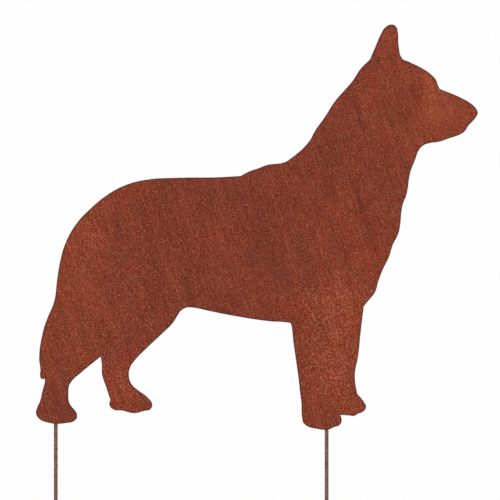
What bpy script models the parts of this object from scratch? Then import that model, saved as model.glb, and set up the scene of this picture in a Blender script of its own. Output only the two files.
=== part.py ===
"""A standing dog cut from flat weathering steel sheet, on two round bar stakes that push into the ground.

+X points at the nose and +Z is up. The sheet's good face looks towards -Y. The origin is on the ground line,
midway between the stakes, and both stakes stand upright on the X axis, behind the legs that they are welded to.
"""

import math

import bmesh
import bpy

# Driving sizes, in metres
DOG_LENGTH = 0.450  # from the nose to the hind heel
PLATE_THICKNESS = 0.002
STAKE_DIAMETER = 0.004
STAKE_DEPTH = 0.200  # from the ground line down to the point
STAKE_LAP = 0.060  # from the ground line up, behind the leg
POINT_LENGTH = 0.010
POINT_DIAMETER = 0.001
TOP_CHAMFER = 0.0005
WELD_LENGTH = 0.012
WELD_LEG = 0.0028  # how far a bead spreads over the plate
WELD_CROWN = 0.0004  # how far its outer face swells
WELD_MARGIN = 0.005  # from an end of the lap to the nearest bead
GAP = 0.0003  # left between pieces that touch

# Fineness of the round shapes
CURVE_STEPS = 6  # straight runs between two points of the outline
STAKE_SIDES = 24
BEAD_SECTIONS = 9
BEAD_STEPS = 4
BEAD_ARC = math.radians(52)  # how far a bead climbs round its stake
BEAD_END_SHARE = 0.43  # an end's size as a share of the middle's

# The dog is drawn in thousandths of its length: forward of the hind heel, then up from the ground line.
SHARE = DOG_LENGTH / 1000
HIND_STAKE_AT = 44
FORE_STAKE_AT = 658
ORIGIN_AT = (HIND_STAKE_AT + FORE_STAKE_AT) / 2
HIND_SOLE_UP = 13
FORE_SOLE_UP = 0

CORNER = "VECTOR"
SMOOTH = "AUTO"

# The outline runs clockwise from the ear, as the good face shows it. Each stretch starts at a corner or runs
# smoothly on from the stretch before it, and all its other points are smooth.
HEAD = (
    (CORNER, (756, 838), (770, 871), (782, 898), (791, 911), (806, 917), (815, 912), (819, 900), (821, 868),
     (829, 840)),
    (SMOOTH, (843, 833), (870, 820), (893, 805), (905, 792), (911, 777)),
    (CORNER, (914, 771), (937, 762), (960, 752), (983, 739), (995, 728), (1000, 717), (995, 706)),
    (SMOOTH, (979, 688), (971, 676), (960, 668), (937, 660), (914, 652)),
)
THROAT_AND_CHEST = (
    (CORNER, (893, 649), (878, 644), (867, 633), (858, 610), (848, 585), (844, 566), (842, 549), (838, 530),
     (831, 512)),
    (SMOOTH, (827, 493), (825, 468), (820, 443), (808, 419), (799, 391), (785, 362), (775, 336), (767, 310),
     (755, 295)),
)
FAR_FORE_LEG = (
    (CORNER, (742, 279), (735, 222), (729, 165), (722, 129), (722, 111)),
    (CORNER, (727, 81), (742, 63), (747, 50), (738, 39), (729, 36), (721, 31), (707, 32)),
)
NEAR_FORE_LEG = (
    (CORNER, (689, 33), (692, 20), (687, 10), (676, 6), (662, 0), (639, 1), (607, 13), (602, 29), (601, 42),
     (601, 56)),
    (SMOOTH, (598, 81), (594, 117), (587, 167), (582, 203), (578, 236)),
)
BELLY = (
    (CORNER, (576, 241), (564, 243), (530, 245), (439, 259), (394, 268), (355, 276), (341, 276), (327, 268),
     (322, 261)),
)
FAR_HIND_LEG = (
    (SMOOTH, (311, 243), (281, 213), (247, 181), (223, 156), (214, 143), (210, 124), (216, 103), (227, 92)),
    (SMOOTH, (254, 71), (263, 57), (259, 46), (244, 42), (222, 37), (195, 43), (176, 45), (166, 56)),
    (CORNER, (168, 67), (160, 92), (149, 127), (149, 146)),
)
NEAR_HIND_LEG = (
    (CORNER, (146, 165), (101, 128), (82, 111), (75, 100), (73, 83), (75, 61)),
    (SMOOTH, (93, 30), (86, 19), (70, 15), (44, 13), (26, 16), (10, 22), (0, 36), (3, 51), (9, 64)),
    (SMOOTH, (14, 86), (20, 109)),
)
TAIL_AND_THIGH = (
    (CORNER, (20, 115), (12, 115), (9, 124), (10, 135)),
    (SMOOTH, (7, 160), (16, 223), (26, 253)),
    (SMOOTH, (41, 290), (48, 342), (55, 383), (67, 423), (92, 467), (122, 499), (158, 529)),
)
BACK_AND_NECK = (
    (SMOOTH, (199, 552), (246, 565), (320, 570), (410, 571)),
    (CORNER, (463, 574), (484, 585), (502, 591), (523, 599), (562, 605)),
    (SMOOTH, (577, 614), (618, 652), (632, 677), (654, 708), (675, 741), (717, 790), (735, 817)),
)
OUTLINE = (
    HEAD + THROAT_AND_CHEST + FAR_FORE_LEG + NEAR_FORE_LEG + BELLY + FAR_HIND_LEG + NEAR_HIND_LEG
    + TAIL_AND_THIGH + BACK_AND_NECK
)

# Finishes: name, colour, roughness and metallic value
RUSTED_PLATE = ("rusted_plate", (0.223, 0.048, 0.026), 0.85, 0.0)
RUSTED_BAR = ("rusted_bar", (0.216, 0.100, 0.072), 0.75, 0.0)
WELD_METAL = ("weld_metal", (0.130, 0.070, 0.050), 0.60, 0.3)


def clear_scene():
    for old in list(bpy.data.objects):
        bpy.data.objects.remove(old, do_unlink=True)


def finish(name, colour, roughness, metallic):
    """The material of that name, made the first time it is asked for."""
    found = bpy.data.materials.get(name)
    if found:
        return found
    material = bpy.data.materials.new(name)
    material.use_nodes = True
    shader = material.node_tree.nodes["Principled BSDF"]
    shader.inputs["Base Color"].default_value = (*colour, 1)
    shader.inputs["Roughness"].default_value = roughness
    shader.inputs["Metallic"].default_value = metallic
    return material


def place(name, data, material, location):
    piece = bpy.data.objects.new(name, data)
    bpy.context.collection.objects.link(piece)
    piece.location = location
    data.materials.append(finish(*material))
    return piece


def forward(share):
    """How far a place in the drawing is ahead of the origin."""
    return (share - ORIGIN_AT) * SHARE


def dog_plate():
    """The flat sheet: the drawn outline, filled and given its thickness."""
    curve = bpy.data.curves.new("dog_plate", "CURVE")
    curve.dimensions = "2D"
    curve.fill_mode = "BOTH"
    curve.extrude = PLATE_THICKNESS / 2
    curve.resolution_u = CURVE_STEPS
    curve.render_resolution_u = 0
    knots = [
        (point, start if number == 0 else SMOOTH)
        for start, *points in OUTLINE
        for number, point in enumerate(points)
    ]
    spline = curve.splines.new("BEZIER")
    spline.bezier_points.add(len(knots) - 1)
    spline.use_cyclic_u = True
    for knot, ((along, up), kind) in zip(spline.bezier_points, knots):
        knot.co = (forward(along), up * SHARE, 0)
        knot.handle_left_type = kind
        knot.handle_right_type = kind
    middle = -(STAKE_DIAMETER / 2 + GAP + PLATE_THICKNESS / 2)
    plate = place("dog_plate", curve, RUSTED_PLATE, (0, middle, 0))
    plate.rotation_euler.x = math.pi / 2
    return plate


def stake(name, along):
    """A round bar turned about its own axis: a blunt point below and a chamfered end above."""
    radius = STAKE_DIAMETER / 2
    profile = (
        (0, -STAKE_DEPTH),
        (POINT_DIAMETER / 2, -STAKE_DEPTH),
        (radius, POINT_LENGTH - STAKE_DEPTH),
        (radius, STAKE_LAP - TOP_CHAMFER),
        (radius - TOP_CHAMFER, STAKE_LAP),
        (0, STAKE_LAP),
    )
    mesh = bmesh.new()
    chain = [mesh.verts.new((out, 0, up)) for out, up in profile]
    edges = [mesh.edges.new(pair) for pair in zip(chain, chain[1:])]
    bmesh.ops.spin(mesh, geom=chain + edges, axis=(0, 0, 1), angle=math.tau, steps=STAKE_SIDES)
    bmesh.ops.remove_doubles(mesh, verts=mesh.verts, dist=GAP / 100)
    bmesh.ops.recalc_face_normals(mesh, faces=mesh.faces)
    data = bpy.data.meshes.new(name)
    mesh.to_mesh(data)
    mesh.free()
    data.shade_smooth()
    data.set_sharp_from_angle(angle=math.radians(30))
    return place(name, data, RUSTED_BAR, (forward(along), 0, 0))


def bead_section(size):
    """Points of a bead's cross-section, which fills the corner between plate and stake, at this share of its
    full size. The plate is below, the stake's axis is at the origin, and the bead lies on its +X side."""
    around = STAKE_DIAMETER / 2 + GAP
    over_plate = -STAKE_DIAMETER / 2
    root = math.asin(over_plate / around)
    on_stake = [root + BEAD_ARC * size * step / BEAD_STEPS for step in range(BEAD_STEPS + 1)]
    points = [(around * math.cos(angle), around * math.sin(angle)) for angle in on_stake]
    top = points[-1]
    toe = (points[0][0] + WELD_LEG * size, over_plate)
    slope = math.atan2(top[1] - toe[1], top[0] - toe[0])
    for step in range(1, BEAD_STEPS + 1):
        run = step / BEAD_STEPS
        swell = WELD_CROWN * size * math.sin(math.pi * run)
        points.append((
            top[0] + (toe[0] - top[0]) * run + swell * math.sin(slope),
            top[1] + (toe[1] - top[1]) * run - swell * math.cos(slope),
        ))
    return points


def weld_bead(name, along, middle_up, side):
    """A bead with tapered ends. side is 1 on the nose's side of its stake and -1 on the tail's."""
    mesh = bmesh.new()
    rings = []
    for number in range(BEAD_SECTIONS):
        place_along = 2 * number / (BEAD_SECTIONS - 1) - 1
        size = math.sqrt(1 - (1 - BEAD_END_SHARE**2) * place_along**4)
        up = place_along * WELD_LENGTH / 2
        rings.append([mesh.verts.new((side * x, y, up)) for x, y in bead_section(size)])
    for low, high in zip(rings, rings[1:]):
        for here, after in zip(range(len(low)), [*range(1, len(low)), 0]):
            mesh.faces.new((low[here], low[after], high[after], high[here]))
    mesh.faces.new(rings[0])
    mesh.faces.new(rings[-1])
    bmesh.ops.recalc_face_normals(mesh, faces=mesh.faces)
    data = bpy.data.meshes.new(name)
    mesh.to_mesh(data)
    mesh.free()
    return place(name, data, WELD_METAL, (forward(along), 0, middle_up))


def welded_stake(leg, along, sole_up):
    """One stake and the four beads that hold it to its leg."""
    stake(f"{leg}_stake", along)
    inset = WELD_MARGIN + WELD_LENGTH / 2
    heights = {"lower": sole_up * SHARE + inset, "upper": STAKE_LAP - inset}
    for level, middle_up in heights.items():
        for where, side in (("tail", -1), ("nose", 1)):
            weld_bead(f"{leg}_{level}_weld_{where}_side", along, middle_up, side)


def main():
    clear_scene()
    dog_plate()
    welded_stake("hind", HIND_STAKE_AT, HIND_SOLE_UP)
    welded_stake("fore", FORE_STAKE_AT, FORE_SOLE_UP)


main()
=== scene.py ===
import math
import random

import bmesh
import bpy
import numpy as np
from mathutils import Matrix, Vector
from mathutils.kdtree import KDTree


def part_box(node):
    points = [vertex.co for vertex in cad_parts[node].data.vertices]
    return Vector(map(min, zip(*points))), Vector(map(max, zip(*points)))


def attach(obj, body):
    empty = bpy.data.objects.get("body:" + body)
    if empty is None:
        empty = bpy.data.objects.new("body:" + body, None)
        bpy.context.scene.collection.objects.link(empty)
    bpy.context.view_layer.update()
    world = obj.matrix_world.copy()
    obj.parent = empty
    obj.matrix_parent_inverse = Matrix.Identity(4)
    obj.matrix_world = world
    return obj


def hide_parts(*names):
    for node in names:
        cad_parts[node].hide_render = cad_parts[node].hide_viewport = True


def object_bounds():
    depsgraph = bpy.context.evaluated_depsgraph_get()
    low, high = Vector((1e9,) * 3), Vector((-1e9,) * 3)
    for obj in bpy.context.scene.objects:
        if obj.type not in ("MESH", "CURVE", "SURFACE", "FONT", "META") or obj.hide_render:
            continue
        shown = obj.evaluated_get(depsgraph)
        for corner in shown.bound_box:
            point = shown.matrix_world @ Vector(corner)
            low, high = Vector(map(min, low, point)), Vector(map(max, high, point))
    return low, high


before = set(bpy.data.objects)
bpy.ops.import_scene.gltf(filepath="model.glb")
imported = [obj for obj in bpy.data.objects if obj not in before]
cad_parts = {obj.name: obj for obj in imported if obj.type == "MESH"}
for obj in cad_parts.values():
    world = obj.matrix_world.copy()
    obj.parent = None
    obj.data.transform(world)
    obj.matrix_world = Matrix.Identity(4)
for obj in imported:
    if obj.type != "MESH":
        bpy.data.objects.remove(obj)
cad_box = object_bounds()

# A flat weathering steel dog on two round stakes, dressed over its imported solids. Places on the dog are
# thousandths of its length, forward of the hind heel and up from the ground.
DOG_LENGTH = 0.450
SHARE = DOG_LENGTH / 1000
HEEL_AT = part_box("dog_plate")[0].x
SHEET_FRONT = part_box("dog_plate")[0].y
SHEET_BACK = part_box("dog_plate")[1].y

# Laser-cut sheet
BROKEN_EDGE = 0.00025
RIM_BANDS = (0.0006, 0.0008)
SHEET_CELL = 0.0015
OUTLINE_STEP = 0.0001
STREAK_HALF_WIDTH = 0.0011
STREAK_REACH = 3.0
HEAT_REACH = (0.0065, 0.0095)
MERGE = 0.000001
FLAT_WITHIN = math.radians(0.05)
SMOOTH_UNDER = math.radians(40)

# Relief of each skin: the size of its unevenness, how deep it sinks, and how many finer layers it has
SHEET_RELIEF = {
    "rolling waves": (0.060, 0.00010, 0),
    "rust scale": (0.0060, 0.00008, 2),
    "rust grain": (0.0032, 0.00006, 1),
}
BAR_RELIEF = {
    "bar waves": (0.0110, 0.00002, 2),
    "bar scale": (0.0026, 0.00003, 1),
}

# Round bar
BAR_SIDES = 32
BAR_RING = 0.0015
POINT_LENGTH = 0.010
POINT_SHARE = 0.25
TOP_CHAMFER = 0.0005
TOP_SHARE = 0.75

# Weld beads
DROP_PITCH = 0.0015
DROP_SIZE = (0.0020, 0.0017, 0.00125)
DROP_TILT = math.radians(22)
DROP_SWELL = (0.95, 1.03)
DROP_OUT = 0.96  # from the stake's axis, as a share of its radius
DROP_BEHIND = 0.0002  # behind the back of the sheet
END_TAPER = 0.3
BEAD_VOXEL = 0.00014
BEAD_SINK = 0.0004  # how far a bead goes into the sheet
BEAD_OVERLAP = 0.0008  # how far a bead goes past its drops' middle, into the stake
BEAD_SMOOTH_UNDER = math.radians(50)

# Rust: how far its streaks lean from upright, towards the tail at their upper ends, and where its rim ends
STREAK_LEAN = math.radians(-19)
CUT_REACH = (0.0002, 0.0006)
RIM_REACH = (0.0007, 0.0016)

# Studio: the view's width and centre are real sizes on the sheet
VIEW_WIDTH = 0.50928
VIEW_CENTRE = (0.0600, 0.1829)
LENS = 200
SENSOR = 36
LIGHT_PLACE = (-1.7, -2.3, 1.9)
LIGHT_AIM = (0.06, 0, 0.15)
LIGHT_SIZE = 1.2
LIGHT_POWER = 40
FLOOR_RADIUS = 1.15


def forward(share):
    """Distance along +X of a place on the dog, given in thousandths of its length from the hind heel."""
    return HEEL_AT + share * SHARE


# Shader maths


class Value:
    """A socket on which Python's arithmetic adds Math nodes."""

    def __init__(self, finish, socket):
        self.finish = finish
        self.socket = socket

    def math(self, operation, *values):
        return self.finish.node("ShaderNodeMath", {"operation": operation}, dict(enumerate(values)))

    def __add__(self, other):
        return self.math("ADD", self, other)

    def __radd__(self, other):
        return self.math("ADD", other, self)

    def __sub__(self, other):
        return self.math("SUBTRACT", self, other)

    def __rsub__(self, other):
        return self.math("SUBTRACT", other, self)

    def __mul__(self, other):
        return self.math("MULTIPLY", self, other)

    def __rmul__(self, other):
        return self.math("MULTIPLY", other, self)

    def __neg__(self):
        return self.math("MULTIPLY", self, -1)

    def __abs__(self):
        return self.math("ABSOLUTE", self)


class Finish:
    """A material as it is mixed: one Principled shader and the nodes that feed it."""

    def __init__(self, name, specular, metallic=0.0):
        self.material = bpy.data.materials.new(name)
        self.material.use_nodes = True
        self.tree = self.material.node_tree
        self.shader = self.tree.nodes["Principled BSDF"]
        self.shader.inputs["Specular IOR Level"].default_value = specular
        self.shader.inputs["Metallic"].default_value = metallic
        self.place = self.node("ShaderNodeTexCoord", output="Object")

    def node(self, kind, settings=None, values=None, output=0):
        """A node with its settings made first and then its sockets filled, as one of its outputs."""
        made = self.tree.nodes.new(kind)
        for name, setting in (settings or {}).items():
            setattr(made, name, setting)
        for socket, value in (values or {}).items():
            self.feed(made.inputs[socket], value)
        return Value(self, made.outputs[output])

    def feed(self, socket, value):
        if isinstance(value, Value):
            self.tree.links.new(value.socket, socket)
        elif socket.type == "RGBA":
            socket.default_value = (*value, 1)
        else:
            socket.default_value = value

    def paint(self, **sockets):
        """Links what varies to the shader's own sockets."""
        for name, value in sockets.items():
            self.feed(self.shader.inputs[name.replace("_", " ").title()], value)
        return self.material

    def ramp(self, value, low, high, to_low=0.0, to_high=1.0):
        """A smooth step of a value between two levels."""
        return self.node(
            "ShaderNodeMapRange",
            {"interpolation_type": "SMOOTHSTEP"},
            {"Value": value, "From Min": low, "From Max": high, "To Min": to_low, "To Max": to_high},
        )

    def mix(self, share, first, second, blend="MIX"):
        """Two colours mixed, or blended in the way that is named."""
        return self.node(
            "ShaderNodeMix",
            {"data_type": "RGBA", "blend_type": blend, "clamp_factor": True},
            {0: share, 6: first, 7: second},
            output=2,
        )

    def noise(self, size, detail, roughness=0.5, seed=0.0, place=None):
        """Cloudy noise whose blotches are about this size in metres, as a value round 0.5."""
        return self.node(
            "ShaderNodeTexNoise",
            {"noise_dimensions": "4D"},
            {
                "Vector": self.place if place is None else place,
                "W": seed,
                "Scale": 1 / size,
                "Detail": detail,
                "Roughness": roughness,
            },
        )

    def leaning(self, size, detail, roughness=0.5, seed=0.0):
        """Noise with its own size along each axis, turned in the sheet's plane to lean as the streaks do."""
        place = self.node(
            "ShaderNodeMapping",
            {"vector_type": "TEXTURE"},
            {"Vector": self.place, "Rotation": (0, STREAK_LEAN, 0), "Scale": size},
        )
        return self.noise(1, detail, roughness, seed, place)

    def height(self):
        """Height above the ground line, in metres."""
        return self.node("ShaderNodeSeparateXYZ", None, {0: self.place}, output="Z")

    def attribute(self, name):
        return self.node("ShaderNodeAttribute", {"attribute_name": name}, output="Fac")

    def bump(self, height, distance):
        return self.node("ShaderNodeBump", None, {"Height": height, "Distance": distance, "Strength": 1.0})


# Modelling


def only(piece):
    """Leaves just this piece selected and active, in object mode."""
    bpy.ops.object.select_all(action="DESELECT")
    piece.select_set(True)
    bpy.context.view_layer.objects.active = piece


def copy_of_node(node, name):
    """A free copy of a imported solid, left in edit mode with its triangles merged and its flat faces whole."""
    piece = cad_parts[node].copy()
    piece.data = piece.data.copy()
    piece.name = name
    piece.data.name = name
    piece.parent = None
    for key in list(piece.keys()):
        del piece[key]
    bpy.context.collection.objects.link(piece)
    only(piece)
    bpy.ops.object.mode_set(mode="EDIT")
    bpy.ops.mesh.select_all(action="SELECT")
    bpy.ops.mesh.remove_doubles(threshold=MERGE)
    bpy.ops.mesh.dissolve_limited(angle_limit=FLAT_WITHIN)
    return piece


def pick(piece, mode, test):
    """In edit mode, selects just the faces or edges that pass the test."""
    bpy.ops.mesh.select_mode(type=mode)
    bpy.ops.mesh.select_all(action="DESELECT")
    mesh = bmesh.from_edit_mesh(piece.data)
    for part in mesh.faces if mode == "FACE" else mesh.edges:
        part.select = not part.hide and test(part)
    mesh.select_flush_mode()
    bmesh.update_edit_mesh(piece.data)


def roughen(piece, skin, group=""):
    """Sinks a piece's surface by each cloudy relief of its skin in turn, never outwards."""
    only(piece)
    for name, (size, depth, layers) in skin.items():
        clouds = bpy.data.textures.new(name, "CLOUDS")
        clouds.noise_scale = size
        clouds.noise_depth = layers
        clouds.noise_basis = "IMPROVED_PERLIN"
        relief = piece.modifiers.new(name, "DISPLACE")
        relief.texture = clouds
        relief.strength = depth
        relief.mid_level = 1.0
        relief.vertex_group = group
        bpy.ops.object.modifier_apply(modifier=name)
        bpy.data.textures.remove(clouds)


def dress(piece, material, slot, *nodes):
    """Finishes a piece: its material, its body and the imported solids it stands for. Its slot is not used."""
    piece.data.materials.clear()
    piece.data.materials.append(material)
    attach(piece, "root")
    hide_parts(*nodes)


# The sheet


def is_flat_side(face):
    return abs(face.normal.y) > 0.9 and len(face.verts) > 8


def cut_across(axis, low, high, spacing):
    """Cuts what shows of the mesh by evenly spaced planes across an axis."""
    count = round((high - low) / spacing)
    for number in range(1, count):
        place = [0, 0, 0]
        place[axis] = low + (high - low) * number / count
        normal = [0, 0, 0]
        normal[axis] = 1
        bpy.ops.mesh.select_all(action="SELECT")
        bpy.ops.mesh.bisect(plane_co=place, plane_no=normal)


def outline_tree(piece):
    """The outline of the sheet as closely spaced points, for finding how far a place is from the cut."""
    points = []
    for edge in piece.data.edges:
        first, second = (piece.data.vertices[number].co for number in edge.vertices)
        if abs(first.y - SHEET_FRONT) < MERGE and abs(second.y - SHEET_FRONT) < MERGE:
            steps = max(1, math.ceil((second - first).length / OUTLINE_STEP))
            points += [first.lerp(second, step / steps) for step in range(steps)]
    tree = KDTree(len(points))
    for number, point in enumerate(points):
        tree.insert((point.x, 0, point.z), number)
    tree.balance()
    return tree


# Weathering that shows as broad marks: forward, up, half width, half height, colour and coarseness. Above 0
# the colour is more orange and the grain of the rust coarser, and below 0 it is darker and finer.
MARKS = {
    "brow": (894, 778, 30, 54, 1.00, 0.05),
    "muzzle": (920, 714, 52, 38, 0.80, -0.22),
    "nose": (984, 716, 14, 18, 0.22, 0.0),
    "crown": (779, 791, 36, 36, 0.30, 0.0),
    "ear": (801, 880, 26, 46, 0.40, 0.0),
    "cheek": (866, 764, 16, 28, -0.50, 0.0),
    "jaw": (862, 662, 40, 30, 0.20, 0.0),
    "nape": (668, 658, 72, 72, -0.62, -0.04),
    "breast": (822, 520, 30, 60, 0.33, 0.0),
    "lower chest": (748, 362, 46, 56, 0.42, 0.10),
    "shoulder point": (658, 286, 76, 54, 0.70, 0.25),
    "fore legs": (674, 164, 62, 118, 0.42, 0.54),
    "far fore paw": (726, 49, 26, 26, 0.34, 0.10),
    "ribs": (522, 405, 92, 112, -0.72, 0.0),
    "back": (444, 524, 92, 52, -0.56, 0.0),
    "belly": (364, 352, 38, 94, -0.92, 0.10),
    "flank": (272, 440, 90, 100, -0.66, 0.12),
    "rump": (122, 462, 60, 68, 0.80, 0.25),
    "thigh": (108, 316, 60, 66, 0.40, 0.12),
    "thigh, front": (235, 259, 60, 60, 0.0, 0.20),
    "thigh, low": (136, 205, 44, 34, 0.28, 0.10),
    "near hock": (46, 124, 34, 34, 0.25, 0.10),
    "above the hock": (104, 158, 16, 14, 0.42, 0.05),
    "below the tail": (58, 192, 16, 16, -0.55, 0.0),
    "tail": (20, 194, 12, 24, 0.35, 0.05),
    "near hind paw": (44, 32, 50, 32, -0.50, 0.0),
    "near hind toes": (63, 38, 14, 14, -0.90, 0.0),
    "over the hind stake": (44, 24, 5, 18, 0.60, 0.0),
    "far hind leg": (190, 120, 40, 60, 0.20, 0.28),
    "far hind paw": (218, 62, 30, 24, 0.20, 0.20),
}


def weathering(points):
    """How orange (above 0) or dark (below 0) the marks make each point, and how much coarser its grain."""
    colour = np.zeros(len(points))
    coarseness = np.zeros(len(points))
    for along, up, wide, high, orange, coarse in MARKS.values():
        x = (points[:, 0] - forward(along)) / (wide * SHARE)
        z = (points[:, 2] - up * SHARE) / (high * SHARE)
        share = np.exp(-(x**2 + z**2))
        colour += orange * share
        coarseness += coarse * share
    return colour, coarseness


# Single streaks that stand out: strength, above 0 where it is paler, then the places that it runs through
STREAKS = {
    "rump": (-0.8, (222, 556), (242, 511), (258, 470), (276, 416)),
    "rump, pale side": (0.5, (229, 551), (249, 506), (265, 470), (281, 429)),
    "loin": (-0.6, (275, 513), (293, 456), (314, 402)),
    "back": (-0.3, (342, 556), (364, 508), (383, 463)),
    "thigh": (-1.0, (171, 497), (183, 463), (190, 434)),
    "belly": (-1.2, (329, 366), (361, 287)),
    "belly, tail side": (1.1, (303, 361), (327, 293)),
    "belly, nose side": (1.1, (353, 361), (373, 282)),
    "far hind leg": (-0.9, (196, 221), (216, 162)),
    "ribs": (2.0, (637, 450), (644, 418), (651, 388)),
    "elbow": (1.3, (560, 455), (578, 379), (598, 336)),
    "fore leg": (-0.5, (624, 293), (651, 225)),
    "fore leg, pale side": (0.4, (609, 293), (636, 244)),
    "shoulder": (-0.6, (636, 660), (659, 603), (677, 520), (701, 470)),
    "chest": (-1.5, (706, 583), (727, 529), (754, 445), (781, 374)),
    "chest, nose side": (-1.2, (716, 583), (734, 531), (762, 447)),
    "neck": (-0.7, (712, 764), (728, 723), (746, 667)),
    "neck, nose side": (0.7, (722, 782), (735, 750)),
    "behind the ear": (1.2, (768, 832), (781, 801)),
    "brow": (0.6, (878, 800), (892, 776), (906, 754)),
    "throat": (-0.8, (792, 735), (805, 689), (820, 644), (836, 588)),
}


def streaks(points):
    """How far each point lies beside the nearest single streak, in half widths, and how strong that one is."""
    beside = np.full(len(points), STREAK_REACH)
    strength = np.zeros(len(points))
    places = points[:, [0, 2]]
    for power, *knots in STREAKS.values():
        line = [np.array((forward(along), up * SHARE)) for along, up in knots]
        for number, (start, end) in enumerate(zip(line, line[1:])):
            run = end - start
            ahead = (places - start) @ run / (run @ run)
            across = (places - start) @ (run[1], -run[0]) / np.linalg.norm(run) / STREAK_HALF_WIDTH
            near = (ahead >= 0) & (ahead <= 1) & (abs(across) < abs(beside))
            along = (number + ahead[near]) / (len(line) - 1)
            beside[near] = across[near]
            strength[near] = power * np.sqrt(np.sin(np.pi * along))
    return beside, strength


def heat(points, beads):
    """How far each point of the sheet's back was heated by the welding."""
    total = np.zeros(len(points))
    for place in beads:
        x = (points[:, 0] - place.x) / HEAT_REACH[0]
        z = (points[:, 2] - place.z) / HEAT_REACH[1]
        total = np.maximum(total, np.exp(-(x**2 + z**2)))
    return total * (points[:, 1] > (SHEET_FRONT + SHEET_BACK) / 2)


def write_attribute(piece, name, values):
    layer = piece.data.attributes.new(name, "FLOAT", "POINT")
    layer.data.foreach_set("value", np.asarray(values, np.float32))


def points_of(piece):
    flat = np.empty(len(piece.data.vertices) * 3, np.float32)
    piece.data.vertices.foreach_get("co", flat)
    return flat.reshape(-1, 3).astype(float)


def dog_sheet(material, beads):
    """The sheet with its broken edges, its rim and a face fine enough to carry the scale of the rust."""
    piece = copy_of_node("dog_plate", "dog_sheet")
    bpy.ops.object.mode_set(mode="OBJECT")
    outline = outline_tree(piece)
    bpy.ops.object.mode_set(mode="EDIT")
    pick(piece, "EDGE", lambda edge: any(is_flat_side(face) for face in edge.link_faces))
    bpy.ops.mesh.bevel(offset=BROKEN_EDGE, segments=2, affect="EDGES", clamp_overlap=False)
    pick(piece, "FACE", is_flat_side)
    for band in RIM_BANDS:
        bpy.ops.mesh.inset(thickness=band, use_even_offset=True, use_boundary=True)
    pick(piece, "FACE", is_flat_side)
    bpy.ops.mesh.hide(unselected=True)
    low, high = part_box("dog_plate")
    cut_across(0, low.x, high.x, SHEET_CELL)
    cut_across(2, low.z, high.z, SHEET_CELL)
    bpy.ops.mesh.select_all(action="SELECT")
    bpy.ops.object.vertex_group_add()
    bpy.ops.object.vertex_group_assign()
    group = piece.vertex_groups.active.name
    bpy.ops.mesh.reveal(select=False)
    bpy.ops.object.mode_set(mode="OBJECT")
    roughen(piece, SHEET_RELIEF, group)
    bpy.ops.object.shade_smooth_by_angle(angle=SMOOTH_UNDER)
    piece.vertex_groups.clear()
    points = points_of(piece)
    write_attribute(piece, "from_edge", [outline.find((x, 0, z))[2] for x, y, z in points])
    colour, coarseness = weathering(points)
    write_attribute(piece, "weathering", colour)
    write_attribute(piece, "coarseness", coarseness)
    beside, strength = streaks(points)
    write_attribute(piece, "beside_streak", beside)
    write_attribute(piece, "streak_strength", strength)
    write_attribute(piece, "heat", heat(points, beads))
    dress(piece, material, "rusted_plate", "dog_plate")


# The stakes


def is_slope(edge, end, reach):
    """True for an edge that runs from an end face to the ring where the end starts."""
    heights = sorted(abs(vert.co.z - end) for vert in edge.verts)
    return heights[0] < MERGE and abs(heights[1] - abs(reach)) < MERGE


def ground_stake(leg):
    """A round bar with a long blunt point, a chamfered top and an uneven, lightly scaled skin."""
    low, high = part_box(f"{leg}_stake")
    middle = (low + high) / 2
    radius = (high.x - low.x) / 2
    straight = high.z - low.z - POINT_LENGTH - TOP_CHAMFER
    bpy.ops.object.select_all(action="DESELECT")
    bpy.ops.mesh.primitive_cylinder_add(
        vertices=BAR_SIDES,
        radius=radius,
        depth=straight,
        end_fill_type="NGON",
        location=(middle.x, middle.y, low.z + POINT_LENGTH + straight / 2),
    )
    piece = bpy.context.object
    piece.name = f"{leg}_ground_stake"
    piece.data.name = piece.name
    bpy.ops.object.transform_apply(location=True, rotation=True, scale=True)
    bpy.ops.object.mode_set(mode="EDIT")
    pick(piece, "EDGE", lambda edge: abs(edge.verts[0].co.z - edge.verts[1].co.z) > straight / 2)
    bpy.ops.mesh.subdivide(number_cuts=round(straight / BAR_RING))
    ends = (
        (-1, -POINT_LENGTH, POINT_SHARE, low.z, round(POINT_LENGTH / BAR_RING)),
        (1, TOP_CHAMFER, TOP_SHARE, high.z, 1),
    )
    for facing, reach, share, end, rings in ends:
        pick(piece, "FACE", lambda face: face.normal.z * facing > 0.9)
        bpy.ops.mesh.extrude_region_move(TRANSFORM_OT_translate={"value": (0, 0, reach)})
        bpy.ops.transform.resize(value=(share, share, 1), center_override=(middle.x, middle.y, end))
        pick(piece, "EDGE", lambda edge: is_slope(edge, end, reach))
        if rings > 1:
            bpy.ops.mesh.subdivide(number_cuts=rings - 1)
    bpy.ops.object.mode_set(mode="OBJECT")
    roughen(piece, BAR_RELIEF)
    bpy.ops.object.shade_smooth_by_angle(angle=SMOOTH_UNDER)
    return piece


def copied_stake(first, leg, other):
    """A copy of a finished stake, with its own mesh, moved from its leg to the other."""
    only(first)
    bpy.ops.object.duplicate()
    piece = bpy.context.object
    piece.name = f"{other}_ground_stake"
    piece.data.name = piece.name
    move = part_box(f"{other}_stake")[0].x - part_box(f"{leg}_stake")[0].x
    bpy.ops.transform.translate(value=(move, 0, 0))
    bpy.ops.object.transform_apply(location=True, rotation=True, scale=True)
    return piece


# The weld beads


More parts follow.
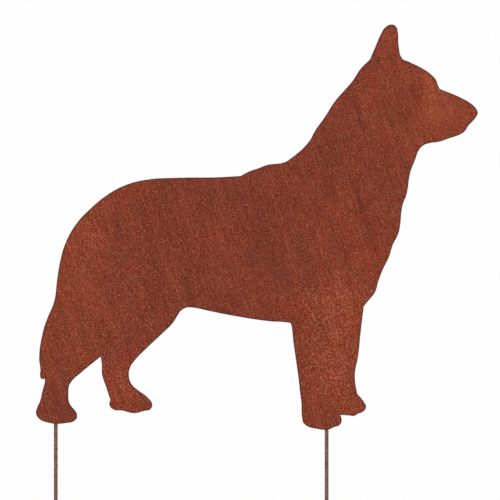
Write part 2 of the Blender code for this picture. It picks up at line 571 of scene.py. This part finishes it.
def weld_bead(node, material, chance):
    """Drops of weld metal laid one on the next and melted into one bead, in the corner of bar and sheet."""
    low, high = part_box(node)
    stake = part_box(f"{node.split('_')[0]}_stake")
    axis = (stake[0].x + stake[1].x) / 2
    side = 1 if low.x > axis else -1
    out = (stake[1].x - axis) * DROP_OUT
    span = high.z - low.z
    count = round((span - 2 * DROP_SIZE[2]) / DROP_PITCH) + 1
    bpy.ops.object.select_all(action="DESELECT")
    drops = []
    for number in range(count):
        run = 2 * number / (count - 1) - 1
        swell = (1 - END_TAPER * run**4) * chance.uniform(*DROP_SWELL)
        up = (low.z + high.z) / 2 + run * (span / 2 - DROP_SIZE[2] * swell)
        bpy.ops.mesh.primitive_uv_sphere_add(
            segments=24,
            ring_count=16,
            radius=1,
            location=(axis + side * out, SHEET_BACK + DROP_BEHIND, up),
            rotation=(DROP_TILT, 0, 0),
            scale=[size * swell for size in DROP_SIZE],
        )
        drops.append(bpy.context.object)
    for drop in drops:
        drop.select_set(True)
    bpy.ops.object.join()
    piece = bpy.context.object
    bpy.ops.object.transform_apply(location=True, rotation=True, scale=True)
    piece.name = node.replace("weld", "bead")
    piece.data.name = piece.name
    melt = piece.modifiers.new("melt", "REMESH")
    melt.mode = "VOXEL"
    melt.voxel_size = BEAD_VOXEL
    bpy.ops.object.modifier_apply(modifier="melt")
    bpy.ops.object.mode_set(mode="EDIT")
    bpy.ops.mesh.select_all(action="SELECT")
    bpy.ops.mesh.vertices_smooth(factor=0.5, repeat=1)
    bpy.ops.mesh.bisect(
        plane_co=(0, SHEET_BACK - BEAD_SINK, 0), plane_no=(0, 1, 0), use_fill=True, clear_inner=True
    )
    bpy.ops.mesh.select_all(action="SELECT")
    bpy.ops.mesh.bisect(
        plane_co=(axis + side * (out - BEAD_OVERLAP), 0, 0),
        plane_no=(side, 0, 0),
        use_fill=True,
        clear_inner=True,
    )
    bpy.ops.object.mode_set(mode="OBJECT")
    bpy.ops.object.shade_smooth_by_angle(angle=BEAD_SMOOTH_UNDER)
    dress(piece, material, "weld_metal", node)


# Finishes


def corten_finish():
    """Matt red-brown rust: fine pale grain, cloudy patches, steep streaks and a darker cut edge."""
    rust = Finish("corten_rust", specular=0.08)
    dots = rust.leaning((0.00102, 0.00108, 0.0015), detail=2, roughness=0.6)
    dashes = rust.leaning((0.0010, 0.0012, 0.0052), detail=1, seed=14)
    specks = rust.leaning((0.0012, 0.0013, 0.0022), detail=1, seed=2)
    blotch = rust.leaning((0.008, 0.01, 0.011), detail=3, roughness=0.6, seed=3)
    cloud = rust.noise(0.045, detail=2, seed=7)
    hue = rust.noise(0.009, detail=1, seed=5)
    fine_hue = rust.noise(0.0024, detail=1, seed=6)
    fine_streaks = rust.leaning((0.0011, 0.02, 0.050), detail=2, roughness=0.6)
    middle_streaks = rust.leaning((0.0028, 0.02, 0.070), detail=1, seed=8)
    wide_streaks = rust.leaning((0.009, 0.03, 0.11), detail=2, seed=9)
    breaks = rust.leaning((0.004, 0.01, 0.014), detail=1, seed=13)
    marks = rust.attribute("weathering")
    coarseness = rust.attribute("coarseness")
    edge = rust.attribute("from_edge")
    single = rust.ramp(abs(rust.attribute("beside_streak")), 0.1, 1.35, 1.0, 0.0)
    single = single * rust.attribute("streak_strength") * rust.ramp(breaks, 0.36, 0.56, 0.45, 1.0)
    grain = dots * 0.8 + dashes * 0.2 + (fine_streaks - 0.5) * 0.11 + single * 0.035
    spread = (rust.ramp(grain, 0.385, 0.715) - 0.38) * (coarseness + 0.98) + 0.38
    colour = rust.mix(spread, (0.117, 0.0128, 0.0020), (0.275, 0.0793, 0.0488))
    bright = rust.ramp(specks + coarseness * 0.13, 0.63, 0.77)
    colour = rust.mix(bright * 0.65, colour, (0.43, 0.168, 0.116))
    tone = (blotch - 0.5) * 0.75 + (cloud - 0.5) * 0.9 + (fine_streaks - 0.5) * 0.5
    tone = tone + (middle_streaks - 0.5) * 0.6 + (wide_streaks - 0.5) * 0.8 + single * 0.35
    colour = rust.mix(tone, colour, (1.54, 1.36, 1.14), "MULTIPLY")
    colour = rust.mix(-tone, colour, (0.48, 0.60, 0.84), "MULTIPLY")
    tint = (hue - 0.5) * 2.6
    colour = rust.mix(tint, colour, (1.08, 0.90, 1.00), "MULTIPLY")
    colour = rust.mix(-tint, colour, (0.94, 1.08, 1.02), "MULTIPLY")
    orange = (fine_hue - 0.5) * (coarseness * 5 + 2.2)
    colour = rust.mix(orange, colour, (1.02, 1.05, 0.82), "MULTIPLY")
    colour = rust.mix(-orange, colour, (0.99, 0.96, 1.15), "MULTIPLY")
    colour = rust.mix(marks, colour, (1.43, 1.46, 1.19), "MULTIPLY")
    colour = rust.mix(-marks, colour, (0.84, 0.87, 0.95), "MULTIPLY")
    rim = rust.ramp(edge, *RIM_REACH, 1.0, 0.0)
    colour = rust.mix(rim, colour, (0.50, 0.60, 0.78), "MULTIPLY")
    cut = rust.ramp(edge, *CUT_REACH, 1.0, 0.0)
    colour = rust.mix(cut, colour, (1.20, 0.70, 0.50), "MULTIPLY")
    colour = rust.mix(rust.attribute("heat"), colour, (0.34, 0.42, 0.58), "MULTIPLY")
    height = grain * 0.8 + blotch * 0.6 + middle_streaks * 0.3
    return rust.paint(
        base_color=colour,
        roughness=rust.ramp(grain, 0.35, 0.65, 0.92, 0.80),
        normal=rust.bump(height, 0.00025),
    )


def bar_finish():
    """Grey-brown bar with a thin mottled rust, more ochre where it leaves the sheet."""
    bar = Finish("rusted_bar_skin", specular=0.2)
    grain = bar.noise(0.0011, detail=1, roughness=0.6, seed=11)
    patches = bar.noise(0.0045, detail=2, roughness=0.6, seed=12)
    colour = bar.mix(bar.ramp(grain, 0.3, 0.7), (0.078, 0.024, 0.013), (0.232, 0.117, 0.093))
    colour = bar.mix(bar.ramp(patches, 0.42, 0.7), colour, (1.12, 1.08, 1.02), "MULTIPLY")
    colour = bar.mix(bar.ramp(patches, 0.5, 0.28), colour, (0.84, 0.83, 0.84), "MULTIPLY")
    stain = bar.ramp(bar.height(), -0.0032, -0.0008) * bar.ramp(bar.height(), 0.016, 0.007)
    colour = bar.mix(stain * 0.8, colour, (1.12, 1.14, 0.72), "MULTIPLY")
    return bar.paint(
        base_color=colour,
        roughness=bar.ramp(patches, 0.3, 0.7, 0.85, 0.65),
        normal=bar.bump(grain + patches, 0.0002),
    )


def bead_finish():
    """Dark weld metal with a dusting of rust in its ripples."""
    bead = Finish("weld_skin", specular=0.3, metallic=0.3)
    dust = bead.noise(0.0012, detail=3, roughness=0.6, seed=21)
    colour = bead.mix(bead.ramp(dust, 0.35, 0.7), (0.040, 0.026, 0.022), (0.190, 0.080, 0.042))
    return bead.paint(
        base_color=colour,
        roughness=bead.ramp(dust, 0.3, 0.7, 0.45, 0.75),
        normal=bead.bump(dust, 0.0001),
    )


# The studio


def studio():
    """White surroundings, a soft light from the upper left and a pale floor under the stakes' points."""
    world = bpy.data.worlds.new("studio")
    world.use_nodes = True
    world.node_tree.nodes["Background"].inputs["Color"].default_value = (0.99, 0.99, 0.99, 1)
    bpy.context.scene.world = world
    bpy.context.scene.view_settings.view_transform = "Standard"

    bpy.ops.object.light_add(type="AREA", location=LIGHT_PLACE)
    key = bpy.context.object
    key.name = "key"
    key.data.shape = "DISK"
    key.data.size = LIGHT_SIZE
    key.data.energy = LIGHT_POWER
    aim = Vector(LIGHT_AIM) - key.location
    key.rotation_euler = aim.to_track_quat("-Z", "Y").to_euler()

    bpy.ops.mesh.primitive_circle_add(
        vertices=96, radius=FLOOR_RADIUS, fill_type="NGON", location=(0, 0, cad_box[0].z)
    )
    floor = bpy.context.object
    floor.name = "floor"
    paper = Finish("floor_paper", specular=0.1)
    floor.data.materials.append(paper.paint(base_color=(0.97, 0.97, 0.97), roughness=0.9))


def camera():
    """Level with the middle of the view and square on to the sheet."""
    across, up = VIEW_CENTRE
    distance = VIEW_WIDTH * LENS / SENSOR
    bpy.ops.object.camera_add(location=(across, SHEET_FRONT - distance, up), rotation=(math.pi / 2, 0, 0))
    eye = bpy.context.object
    eye.data.lens = LENS
    eye.data.sensor_width = SENSOR
    bpy.context.scene.camera = eye


def main():
    chance = random.Random(4)
    weld_nodes = sorted(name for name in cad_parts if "_weld_" in name)
    beads = [sum(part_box(node), Vector()) / 2 for node in weld_nodes]
    dog_sheet(corten_finish(), beads)
    bar = bar_finish()
    hind = ground_stake("hind")
    fore = copied_stake(hind, "hind", "fore")
    dress(hind, bar, "rusted_bar", "hind_stake")
    dress(fore, bar, "rusted_bar", "fore_stake")
    weld = bead_finish()
    for node in weld_nodes:
        weld_bead(node, weld, chance)
    studio()
    camera()


main()
